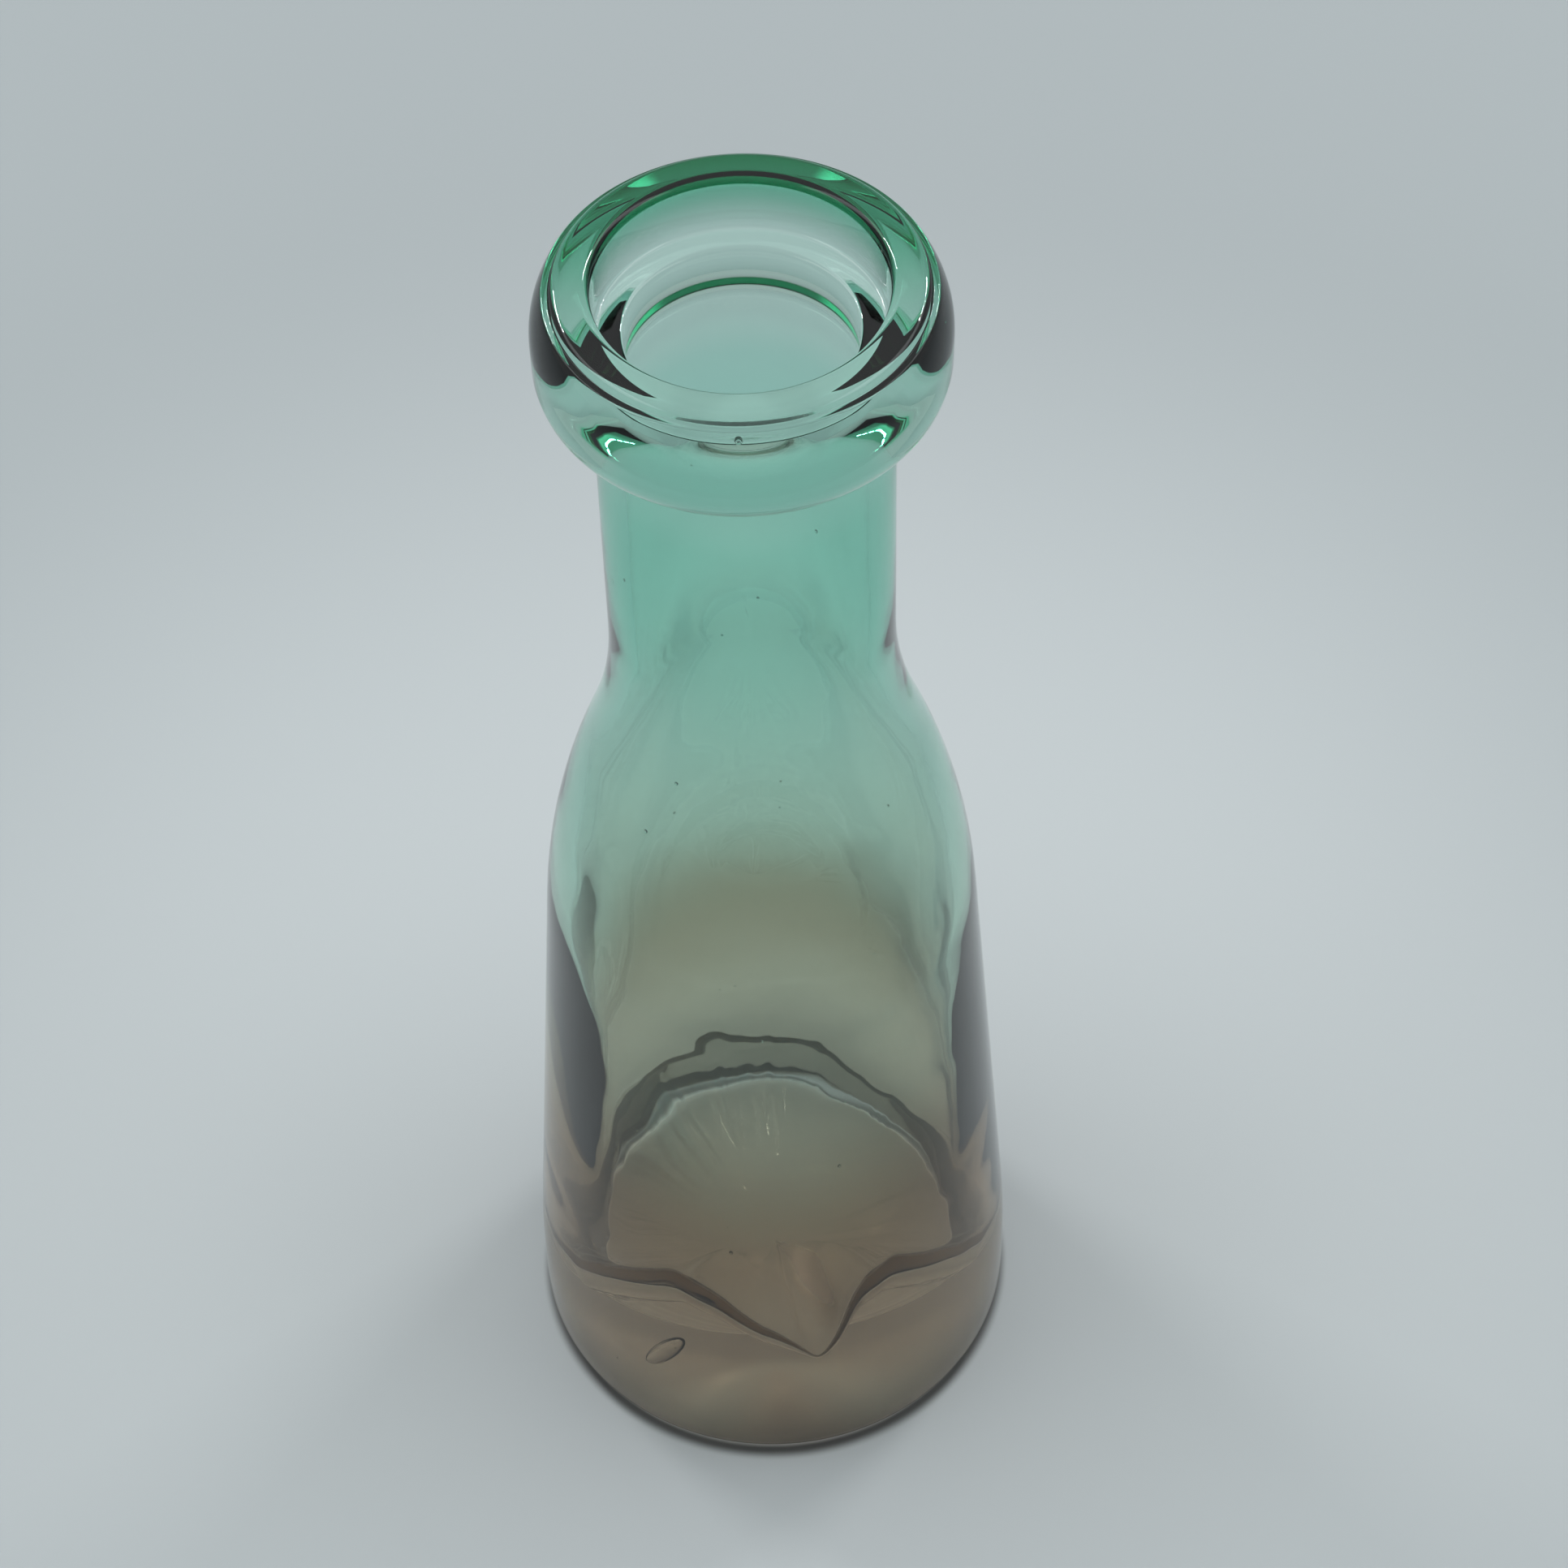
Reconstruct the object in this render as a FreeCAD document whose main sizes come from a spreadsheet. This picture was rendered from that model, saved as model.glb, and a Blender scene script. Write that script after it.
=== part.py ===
import FreeCAD, Part
import math
import os

import Sketcher
from FreeCAD import Vector

# Driving dimensions, in millimetres and degrees
SIZES = {
    # mouth and cap seat
    "cap_diameter": 41.3,
    "cap_clearance": 0.15,
    "seat_depth": 9.6,
    "ledge_width": 4.3,
    "throat_land": 4.9,
    "throat_relief": 1.2,
    "relief_height": 9.0,
    "mouth_round": 1.6,
    "throat_round": 0.8,
    "seat_round": 0.8,
    # lip
    "rim_bead": 1.5,
    "rim_step": 0.9,
    "lip_overhang": 7.95,
    "lip_barrel": 4.0,
    "bulb_rise": 7.5,
    "bulb_upper_radius": 14.0,
    "bulb_lower_radius": 7.0,
    "root_radius": 3.5,
    # neck and shoulder
    "neck_wall": 4.0,
    "neck_length": 46.0,
    "sweep_radius": 78.0,
    "shoulder_radius": 141.0,
    # body
    "body_diameter": 83.4,
    "body_wall": 4.0,
    "taper_angle": 4.1,
    "cone_height": 86.0,
    "flare_radius": 200.0,
    "band_height": 7.5,
    "heel_radius": 4.5,
    # base
    "base_thickness": 8.0,
    "inner_heel_radius": 12.0,
    "bearing_width": 5.2,
    "push_up": 3.0,
}

# Radii that follow from the driving dimensions
BORE_RADIUS = "(dims.cap_diameter / 2 + dims.cap_clearance)"
THROAT_RADIUS = f"({BORE_RADIUS} - dims.ledge_width)"
NECK_INSIDE = f"({THROAT_RADIUS} + dims.throat_relief)"
NECK_RADIUS = f"({NECK_INSIDE} + dims.neck_wall)"
TAPER = "dims.taper_angle * 1 deg"

# How near an edge lies to the place where it is looked for
FIND_WITHIN = 1e-4

doc = FreeCAD.newDocument("milk_bottle")
sheet = doc.addObject("Spreadsheet::Sheet", "dims")
for row, (alias, value) in enumerate(SIZES.items(), start=1):
    sheet.set(f"A{row}", alias)
    sheet.set(f"B{row}", str(value))
    sheet.setAlias(f"B{row}", alias)
doc.recompute()


def size(alias):
    return float(sheet.get(alias))


def angle(alias):
    return math.radians(size(alias))


def line(start, end):
    """A straight edge, with the positions of its first and last points."""
    return Part.LineSegment(Vector(*start), Vector(*end)), 1, 2


def arc(centre, radius, first, last):
    """An arc from one angle to another; its ends swap when it runs clockwise."""
    circle = Part.Circle(Vector(*centre), Vector(0, 0, 1), radius)
    curve = Part.ArcOfCircle(circle, min(first, last), max(first, last))
    return (curve, 1, 2) if first < last else (curve, 2, 1)


def on_arc(centre, radius, at):
    return centre[0] + radius * math.cos(at), centre[1] + radius * math.sin(at)


def ogee(start, lower_radius, upper_radius, neck_radius):
    """Two tangent arcs from the tapered wall at start up to the upright neck."""
    taper = angle("taper_angle")
    lower = (start[0] - lower_radius * math.cos(taper), start[1] - lower_radius * math.sin(taper))
    reach = neck_radius + upper_radius - lower[0]
    lean = math.acos(reach / (lower_radius + upper_radius))
    upper = on_arc(lower, lower_radius + upper_radius, lean)
    return lower, upper, lean


def add_profile(body, name, edges, corners):
    """A closed sketch in the XZ plane; its joints are tangent except at the corners named."""
    sketch = body.newObject("Sketcher::SketchObject", name)
    front = next(plane for plane in body.Origin.OriginFeatures if plane.Role == "XZ_Plane")
    sketch.AttachmentSupport = (front, "")
    sketch.MapMode = "FlatFace"
    names = list(edges)
    number = {edge: sketch.addGeometry(edges[edge][0], False) for edge in names}
    first = {edge: (number[edge], edges[edge][1]) for edge in names}
    last = {edge: (number[edge], edges[edge][2]) for edge in names}
    for edge, following in zip(names, names[1:] + names[:1]):
        kind = "Coincident" if edge in corners else "Tangent"
        sketch.addConstraint(Sketcher.Constraint(kind, *last[edge], *first[following]))
    return sketch, number, first, last


def bind(sketch, label, expression, *constraint):
    """Adds a dimension and ties it to an expression."""
    index = sketch.addConstraint(Sketcher.Constraint(*constraint))
    sketch.renameConstraint(index, label)
    sketch.setExpression(f"Constraints.{label}", expression)


def measure(sketch, label, *constraint):
    """Adds a reference dimension that other sketches read."""
    index = sketch.addConstraint(Sketcher.Constraint(*constraint))
    sketch.setDriving(index, False)
    sketch.renameConstraint(index, label)


def turn(body, kind, name, sketch):
    """Revolves or grooves a sketch once round the bottle's axis."""
    feature = body.newObject(f"PartDesign::{kind}", name)
    feature.Profile = sketch
    feature.ReferenceAxis = (sketch, ["V_Axis"])
    feature.Angle = 360
    doc.recompute()
    return feature


def ring_edge(shape, radius, height):
    """The name of the circular edge of that radius at that height."""
    for index, edge in enumerate(shape.Edges, start=1):
        if edge.Degenerated or not isinstance(edge.Curve, Part.Circle):
            continue
        ring = edge.Curve
        if abs(ring.Radius - radius) < FIND_WITHIN and abs(ring.Center.z - height) < FIND_WITHIN:
            return f"Edge{index}"
    raise RuntimeError(f"no ring edge of radius {radius} at height {height}")


def round_edge(body, name, radius, height, expression):
    base = body.Tip
    fillet = body.newObject("PartDesign::Fillet", name)
    fillet.Base = (base, [ring_edge(base.Shape, radius, height)])
    fillet.setExpression("Radius", expression)
    doc.recompute()


bottle = doc.addObject("PartDesign::Body", "glass_bottle")
bottle.Label = "glass_bottle"

# Outside form: heel, tapered body, ogee shoulder, neck and bulb lip
QUARTER = math.pi / 2
taper = angle("taper_angle")
bore_radius = size("cap_diameter") / 2 + size("cap_clearance")
throat_radius = bore_radius - size("ledge_width")
neck_inside = throat_radius + size("throat_relief")
neck_radius = neck_inside + size("neck_wall")
body_radius = size("body_diameter") / 2
heel = size("heel_radius")
flat_radius = body_radius - heel
band_top = heel + size("band_height")

flare_centre = (body_radius - size("flare_radius"), band_top)
cone_foot = on_arc(flare_centre, size("flare_radius"), taper)
cone_top = (cone_foot[0] - size("cone_height") * math.tan(taper), cone_foot[1] + size("cone_height"))
shoulder_centre, sweep_centre, lean = ogee(
    cone_top, size("shoulder_radius"), size("sweep_radius"), neck_radius)
neck_top = sweep_centre[1] + size("neck_length")

lip_radius = neck_radius + size("lip_overhang")
lower = size("bulb_lower_radius")
upper = size("bulb_upper_radius")
root = size("root_radius")
root_centre = (neck_radius + root, neck_top)
bulb_x = lip_radius - lower
bulb_y = neck_top + math.sqrt((lower + root) ** 2 - (bulb_x - root_centre[0]) ** 2)
root_angle = math.atan2(bulb_y - root_centre[1], bulb_x - root_centre[0])
barrel_top = bulb_y + size("lip_barrel")
rim_angle = math.asin(size("bulb_rise") / upper)
rim_edge = on_arc((lip_radius - upper, barrel_top), upper, rim_angle)
bead = size("rim_bead")
bead_x = rim_edge[0] - size("rim_step") - bead
rim_top = rim_edge[1] + bead

outside, geo, first, last = add_profile(
    bottle,
    "outside_profile",
    {
        "foot": line((0, 0), (flat_radius, 0)),
        "heel": arc((flat_radius, heel), heel, -QUARTER, 0),
        "band": line((body_radius, heel), (body_radius, band_top)),
        "flare": arc(flare_centre, size("flare_radius"), 0, taper),
        "cone": line(cone_foot, cone_top),
        "shoulder": arc(shoulder_centre, size("shoulder_radius"), taper, lean),
        "sweep": arc(sweep_centre, size("sweep_radius"), math.pi + lean, math.pi),
        "neck": line((neck_radius, sweep_centre[1]), (neck_radius, neck_top)),
        "root": arc(root_centre, root, math.pi, root_angle),
        "underside": arc((bulb_x, bulb_y), lower, root_angle - math.pi, 0),
        "barrel": line((lip_radius, bulb_y), (lip_radius, barrel_top)),
        "bulb": arc((lip_radius - upper, barrel_top), upper, 0, rim_angle),
        "step": line(rim_edge, (bead_x + bead, rim_edge[1])),
        "bead": arc((bead_x, rim_edge[1]), bead, 0, QUARTER),
        "top": line((bead_x, rim_top), (0, rim_top)),
        "axis": line((0, rim_top), (0, 0)),
    },
    corners=("bulb", "step", "top", "axis"),
)
ORIGIN = (-1, 1)
outside.addConstraint(Sketcher.Constraint("Coincident", *first["foot"], *ORIGIN))
for edge in ("foot", "step", "top"):
    outside.addConstraint(Sketcher.Constraint("Horizontal", geo[edge]))
for edge in ("band", "neck", "barrel", "axis"):
    outside.addConstraint(Sketcher.Constraint("Vertical", geo[edge]))
outside.addConstraint(Sketcher.Constraint("Horizontal", geo["bead"], 3, *first["bead"]))
bind(outside, "heel_radius", "dims.heel_radius", "Radius", geo["heel"], heel)
bind(outside, "body_radius", "dims.body_diameter / 2", "DistanceX", *ORIGIN, *first["band"], body_radius)
bind(outside, "band_height", "dims.band_height", "DistanceY", *first["band"], *last["band"],
     size("band_height"))
bind(outside, "flare_radius", "dims.flare_radius", "Radius", geo["flare"], size("flare_radius"))
bind(outside, "taper", f"90 deg + {TAPER}", "Angle", geo["cone"], QUARTER + taper)
bind(outside, "cone_height", "dims.cone_height", "DistanceY", *first["cone"], *last["cone"],
     size("cone_height"))
bind(outside, "shoulder_radius", "dims.shoulder_radius", "Radius", geo["shoulder"],
     size("shoulder_radius"))
bind(outside, "sweep_radius", "dims.sweep_radius", "Radius", geo["sweep"], size("sweep_radius"))
bind(outside, "neck_radius", NECK_RADIUS, "DistanceX", *ORIGIN, *first["neck"], neck_radius)
bind(outside, "neck_length", "dims.neck_length", "DistanceY", *first["neck"], *last["neck"],
     size("neck_length"))
bind(outside, "root_radius", "dims.root_radius", "Radius", geo["root"], root)
bind(outside, "lower_radius", "dims.bulb_lower_radius", "Radius", geo["underside"], lower)
bind(outside, "upper_radius", "dims.bulb_upper_radius", "Radius", geo["bulb"], upper)
bind(outside, "lip_radius", f"{NECK_RADIUS} + dims.lip_overhang", "DistanceX", *ORIGIN, *first["barrel"],
     lip_radius)
bind(outside, "lip_barrel", "dims.lip_barrel", "DistanceY", *first["barrel"], *last["barrel"],
     size("lip_barrel"))
bind(outside, "bulb_rise", "dims.bulb_rise", "DistanceY", *first["bulb"], *last["bulb"], size("bulb_rise"))
bind(outside, "rim_step", "dims.rim_step", "DistanceX", *last["step"], *first["step"], size("rim_step"))
bind(outside, "rim_bead", "dims.rim_bead", "Radius", geo["bead"], bead)
measure(outside, "overall_height", "DistanceY", *ORIGIN, *first["top"], rim_top)
measure(outside, "rim_flat_x", "DistanceX", *ORIGIN, *first["top"], bead_x)
measure(outside, "cone_top_x", "DistanceX", *ORIGIN, *last["cone"], cone_top[0])
measure(outside, "cone_top_y", "DistanceY", *ORIGIN, *last["cone"], cone_top[1])
turn(bottle, "Revolution", "outside_form", outside)

# Inside: floor, wall, shoulder, neck, throat ring, cap seat and mouth
wall = size("body_wall")
floor = size("base_thickness")
inner_heel = size("inner_heel_radius")
wall_top = (cone_top[0] - wall * math.cos(taper), cone_top[1] - wall * math.sin(taper))
inner_lower = size("shoulder_radius") - wall
inner_upper = size("sweep_radius") + size("neck_wall")
inner_shoulder, inner_sweep, inner_lean = ogee(wall_top, inner_lower, inner_upper, neck_inside)
heel_y = floor + inner_heel
wall_foot_y = heel_y + inner_heel * math.sin(taper)
wall_foot = (wall_top[0] + (wall_top[1] - wall_foot_y) * math.tan(taper), wall_foot_y)
heel_centre = (wall_foot[0] - inner_heel * math.cos(taper), heel_y)
seat = rim_top - size("seat_depth")
throat_foot = seat - size("throat_land")
relief_foot = throat_foot - size("relief_height")
cut_top = rim_top + size("seat_depth")

inside, geo, first, last = add_profile(
    bottle,
    "inside_profile",
    {
        "floor": line((0, floor), (heel_centre[0], floor)),
        "heel": arc(heel_centre, inner_heel, -QUARTER, taper),
        "wall": line(wall_foot, wall_top),
        "shoulder": arc(inner_shoulder, inner_lower, taper, inner_lean),
        "sweep": arc(inner_sweep, inner_upper, math.pi + inner_lean, math.pi),
        "neck": line((neck_inside, inner_sweep[1]), (neck_inside, relief_foot)),
        "relief": line((neck_inside, relief_foot), (throat_radius, throat_foot)),
        "throat": line((throat_radius, throat_foot), (throat_radius, seat)),
        "ledge": line((throat_radius, seat), (bore_radius, seat)),
        "bore": line((bore_radius, seat), (bore_radius, cut_top)),
        "top": line((bore_radius, cut_top), (0, cut_top)),
        "axis": line((0, cut_top), (0, floor)),
    },
    corners=("neck", "relief", "throat", "ledge", "bore", "top", "axis"),
)
RIM_TOP = "outside_profile.Constraints.overall_height"
WALL_TOP_X = f"outside_profile.Constraints.cone_top_x - dims.body_wall * 1 mm * cos({TAPER})"
WALL_TOP_Y = f"outside_profile.Constraints.cone_top_y - dims.body_wall * 1 mm * sin({TAPER})"
for edge in ("floor", "ledge", "top"):
    inside.addConstraint(Sketcher.Constraint("Horizontal", geo[edge]))
for edge in ("neck", "throat", "bore", "axis"):
    inside.addConstraint(Sketcher.Constraint("Vertical", geo[edge]))
inside.addConstraint(Sketcher.Constraint("PointOnObject", *first["floor"], -2))
bind(inside, "floor", "dims.base_thickness", "DistanceY", *ORIGIN, *first["floor"], floor)
bind(inside, "inner_heel", "dims.inner_heel_radius", "Radius", geo["heel"], inner_heel)
bind(inside, "taper", f"90 deg + {TAPER}", "Angle", geo["wall"], QUARTER + taper)
bind(inside, "wall_top_x", WALL_TOP_X, "DistanceX", *ORIGIN, *last["wall"], wall_top[0])
bind(inside, "wall_top_y", WALL_TOP_Y, "DistanceY", *ORIGIN, *last["wall"], wall_top[1])
bind(inside, "shoulder_radius", "dims.shoulder_radius - dims.body_wall", "Radius", geo["shoulder"],
     inner_lower)
bind(inside, "sweep_radius", "dims.sweep_radius + dims.neck_wall", "Radius", geo["sweep"], inner_upper)
bind(inside, "neck_inside", NECK_INSIDE, "DistanceX", *ORIGIN, *first["neck"], neck_inside)
bind(inside, "relief_height", "dims.relief_height", "DistanceY", *first["relief"], *last["relief"],
     size("relief_height"))
bind(inside, "throat_radius", THROAT_RADIUS, "DistanceX", *ORIGIN, *first["throat"], throat_radius)
bind(inside, "throat_land", "dims.throat_land", "DistanceY", *first["throat"], *last["throat"],
     size("throat_land"))
bind(inside, "seat", f"{RIM_TOP} - dims.seat_depth * 1 mm", "DistanceY", *ORIGIN, *first["ledge"], seat)
bind(inside, "bore_radius", BORE_RADIUS, "DistanceX", *ORIGIN, *first["bore"], bore_radius)
bind(inside, "cut_top", f"{RIM_TOP} + dims.seat_depth * 1 mm", "DistanceY", *ORIGIN, *last["bore"], cut_top)
outside_volume = bottle.Shape.Volume
turn(bottle, "Groove", "inside_form", inside)
inside_volume = outside_volume - bottle.Shape.Volume

# Push-up under the base, inside the bearing ring
push_radius = flat_radius - size("bearing_width")
push_up = size("push_up")
dome_radius = (push_radius ** 2 + push_up ** 2) / (2 * push_up)
dome_centre = (0, push_up - dome_radius)
dome_angle = math.asin(push_radius / dome_radius)
underneath, geo, first, last = add_profile(
    bottle,
    "push_up_profile",
    {
        "foot": line((0, 0), (push_radius, 0)),
        "dome": arc(dome_centre, dome_radius, QUARTER - dome_angle, QUARTER),
        "axis": line((0, push_up), (0, 0)),
    },
    corners=("foot", "dome", "axis"),
)
underneath.addConstraint(Sketcher.Constraint("Coincident", *first["foot"], *ORIGIN))
underneath.addConstraint(Sketcher.Constraint("Horizontal", geo["foot"]))
underneath.addConstraint(Sketcher.Constraint("PointOnObject", *last["dome"], -2))
underneath.addConstraint(Sketcher.Constraint("PointOnObject", geo["dome"], 3, -2))
bind(underneath, "push_radius", "dims.body_diameter / 2 - dims.heel_radius - dims.bearing_width",
     "DistanceX", *ORIGIN, *last["foot"], push_radius)
bind(underneath, "push_up", "dims.push_up", "DistanceY", *ORIGIN, *last["dome"], push_up)
hollow_volume = bottle.Shape.Volume
turn(bottle, "Groove", "push_up_form", underneath)
push_up_volume = hollow_volume - bottle.Shape.Volume

# Fire-polished edges: each round keeps to its share of the flat rim or of the ledge
MOUTH_SHARE = 0.9
THROAT_SHARE = 0.38
SEAT_SHARE = 0.58
RIM_FLAT = f"(outside_profile.Constraints.rim_flat_x - {BORE_RADIUS} * 1 mm)"
MOUTH_ROUND = f"min(dims.mouth_round * 1 mm; {MOUTH_SHARE} * {RIM_FLAT})"
THROAT_ROUND = f"min(dims.throat_round; {THROAT_SHARE} * dims.ledge_width)"
SEAT_ROUND = f"min(dims.seat_round; {SEAT_SHARE} * dims.ledge_width)"
round_edge(bottle, "mouth_edge", bore_radius, rim_top, MOUTH_ROUND)
round_edge(bottle, "throat_edge", throat_radius, seat, THROAT_ROUND)
round_edge(bottle, "seat_corner", bore_radius, seat, SEAT_ROUND)

# The model is whole before it is written
failed = [item.Name for item in doc.Objects if {"Invalid", "Error"} & set(item.State)]
if failed:
    raise RuntimeError(f"failed features: {failed}")
for sketch in (outside, inside, underneath):
    if not sketch.FullyConstrained:
        raise RuntimeError(f"{sketch.Name} is not fully constrained")
if inside_volume <= 0 or push_up_volume <= 0:
    raise RuntimeError("a groove cut nothing")
shape = bottle.Shape
if shape.isNull() or not shape.isValid() or len(shape.Solids) != 1:
    raise RuntimeError("glass_bottle is not one valid solid")

os.makedirs("parts", exist_ok=True)
shape.exportStep(f"parts/{bottle.Label}.step")
print(f"height {rim_top:.2f} mm, glass {shape.Volume / 1000:.1f} cm3")
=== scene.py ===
import math
import random

import bpy
import numpy as np
from mathutils import Matrix, Vector, noise


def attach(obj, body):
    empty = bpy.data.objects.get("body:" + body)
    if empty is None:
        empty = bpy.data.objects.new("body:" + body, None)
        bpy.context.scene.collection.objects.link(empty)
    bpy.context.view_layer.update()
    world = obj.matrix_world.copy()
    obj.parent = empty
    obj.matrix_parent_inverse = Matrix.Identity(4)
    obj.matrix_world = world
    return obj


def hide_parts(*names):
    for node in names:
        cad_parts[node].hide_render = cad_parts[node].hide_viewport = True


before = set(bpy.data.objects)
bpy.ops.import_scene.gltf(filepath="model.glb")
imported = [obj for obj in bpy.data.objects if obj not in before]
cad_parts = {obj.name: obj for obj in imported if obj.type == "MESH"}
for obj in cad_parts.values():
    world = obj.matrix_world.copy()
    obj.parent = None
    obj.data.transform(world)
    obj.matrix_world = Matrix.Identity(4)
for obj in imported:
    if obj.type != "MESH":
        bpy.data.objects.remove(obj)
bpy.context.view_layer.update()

# The bottle's sizes in millimetres, the same as the CAD part's
BORE_RADIUS = 20.8
THROAT_RADIUS = 16.5
NECK_INSIDE = 17.7
NECK_RADIUS = 21.7
SEAT_DEPTH = 9.6
THROAT_LAND = 4.9
RELIEF_HEIGHT = 9.0
MOUTH_ROUND = 1.6
THROAT_ROUND = 0.8
SEAT_ROUND = 0.8
RIM_BEAD = 1.5
RIM_STEP = 0.9
LIP_RADIUS = 29.65
LIP_BARREL = 4.0
BULB_RISE = 7.5
BULB_UPPER = 14.0
BULB_LOWER = 7.0
ROOT_RADIUS = 3.5
NECK_LENGTH = 46.0
SWEEP_RADIUS = 78.0
SHOULDER_RADIUS = 141.0
BODY_RADIUS = 41.7
WALL = 4.0
TAPER = math.radians(4.1)
CONE_HEIGHT = 86.0
FLARE_RADIUS = 200.0
BAND_HEIGHT = 7.5
HEEL_RADIUS = 4.5
BASE_THICKNESS = 8.0
BEARING_WIDTH = 5.2
PUSH_UP = 3.0

# The deep bowl that the inside's bottom is blended with, in millimetres
BOWL_SIDE = 20.0
BOWL_FLOOR = 16.0
BOWL_TURN = math.radians(55)
BOWL_RISE = 24.0
BOWL_FROM = 100.0

# How finely the glass is divided
AROUND = 360
FINE_STEP = 0.2
EDGE_SOFTNESS = 0.5
MAX_TURN = math.radians(5)
OUTER_STEP = 4.0
INNER_STEP = 1.6

MM = 0.001
QUARTER = math.pi / 2


def on_arc(centre, radius, at):
    return centre[0] + radius * math.cos(at), centre[1] + radius * math.sin(at)


def arc(centre, radius, first, last):
    """Points along an arc, fine enough for its edges not to show."""
    count = max(2, math.ceil(abs(last - first) * radius / FINE_STEP))
    return [on_arc(centre, radius, at) for at in np.linspace(first, last, count)]


def ogee(start, lower_radius, upper_radius, neck_radius):
    """Centres of the two tangent arcs from the tapered wall up to the neck, and where they meet."""
    lower = on_arc(start, -lower_radius, TAPER)
    lean = math.acos((neck_radius + upper_radius - lower[0]) / (lower_radius + upper_radius))
    return lower, on_arc(lower, lower_radius + upper_radius, lean), lean


def bottle_outline():
    """The half section of the glass: outside from the middle of the base up, then inside down."""
    flat = BODY_RADIUS - HEEL_RADIUS
    push_radius = flat - BEARING_WIDTH
    dome = (push_radius ** 2 + PUSH_UP ** 2) / (2 * PUSH_UP)
    dome_angle = math.asin(push_radius / dome)
    band_top = HEEL_RADIUS + BAND_HEIGHT
    flare = (BODY_RADIUS - FLARE_RADIUS, band_top)
    cone_foot = on_arc(flare, FLARE_RADIUS, TAPER)
    cone_top = (cone_foot[0] - CONE_HEIGHT * math.tan(TAPER), cone_foot[1] + CONE_HEIGHT)
    shoulder, sweep, lean = ogee(cone_top, SHOULDER_RADIUS, SWEEP_RADIUS, NECK_RADIUS)
    neck_top = sweep[1] + NECK_LENGTH
    root = (NECK_RADIUS + ROOT_RADIUS, neck_top)
    bulb_x = LIP_RADIUS - BULB_LOWER
    bulb_z = neck_top + math.sqrt((BULB_LOWER + ROOT_RADIUS) ** 2 - (bulb_x - root[0]) ** 2)
    root_angle = math.atan2(bulb_z - neck_top, bulb_x - root[0])
    rim_angle = math.asin(BULB_RISE / BULB_UPPER)
    barrel_top = bulb_z + LIP_BARREL
    rim_edge = on_arc((LIP_RADIUS - BULB_UPPER, barrel_top), BULB_UPPER, rim_angle)
    bead_x = rim_edge[0] - RIM_STEP - RIM_BEAD
    rim_top = rim_edge[1] + RIM_BEAD
    outer = [
        *arc((0, PUSH_UP - dome), dome, QUARTER, QUARTER - dome_angle),
        *arc((flat, HEEL_RADIUS), HEEL_RADIUS, -QUARTER, 0),
        *arc(flare, FLARE_RADIUS, 0, TAPER),
        *arc(shoulder, SHOULDER_RADIUS, TAPER, lean),
        *arc(sweep, SWEEP_RADIUS, math.pi + lean, math.pi),
        *arc(root, ROOT_RADIUS, math.pi, root_angle),
        *arc((bulb_x, bulb_z), BULB_LOWER, root_angle - math.pi, 0),
        *arc((LIP_RADIUS - BULB_UPPER, barrel_top), BULB_UPPER, 0, rim_angle),
        *arc((bead_x, rim_edge[1]), RIM_BEAD, 0, QUARTER),
        *arc((BORE_RADIUS + MOUTH_ROUND, rim_top - MOUTH_ROUND), MOUTH_ROUND, QUARTER, math.pi),
    ]
    seat = rim_top - SEAT_DEPTH
    throat_foot = seat - THROAT_LAND
    wall_top = on_arc(cone_top, -WALL, TAPER)
    inner_shoulder, inner_sweep, inner_lean = ogee(
        wall_top, SHOULDER_RADIUS - WALL, SWEEP_RADIUS + WALL, NECK_INSIDE)
    inner = [
        *arc((BORE_RADIUS - SEAT_ROUND, seat + SEAT_ROUND), SEAT_ROUND, 0, -QUARTER),
        *arc((THROAT_RADIUS + THROAT_ROUND, seat - THROAT_ROUND), THROAT_ROUND, QUARTER, math.pi),
        (THROAT_RADIUS, throat_foot),
        (NECK_INSIDE, throat_foot - RELIEF_HEIGHT),
        *arc(inner_sweep, SWEEP_RADIUS + WALL, math.pi, math.pi + inner_lean),
        *arc(inner_shoulder, SHOULDER_RADIUS - WALL, inner_lean, TAPER),
        (wall_top[0] + (wall_top[1] - BOWL_FROM) * math.tan(TAPER), BOWL_FROM),
    ]
    return np.array(outer), np.array(inner), wall_top, rim_top


def leaning(start, length, lean):
    """A point further down the inside, that far on and leaning in by that much from upright."""
    return start[0] - length * math.sin(lean), start[1] - length * math.cos(lean)


def stretch(start, end, count, crowding=1.0):
    """Points from start towards end, crowded towards the end."""
    part = 1 - (1 - np.linspace(0, 1, count, endpoint=False)) ** crowding
    return np.outer(1 - part, start) + np.outer(part, end)


def curve(start, turn, end, count):
    """Points from start towards end on a curve that heads for the turn first."""
    part = np.linspace(0, 1, count, endpoint=False)
    middle = np.outer(2 * part * (1 - part), turn)
    return np.outer((1 - part) ** 2, start) + middle + np.outer(part ** 2, end)


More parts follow.
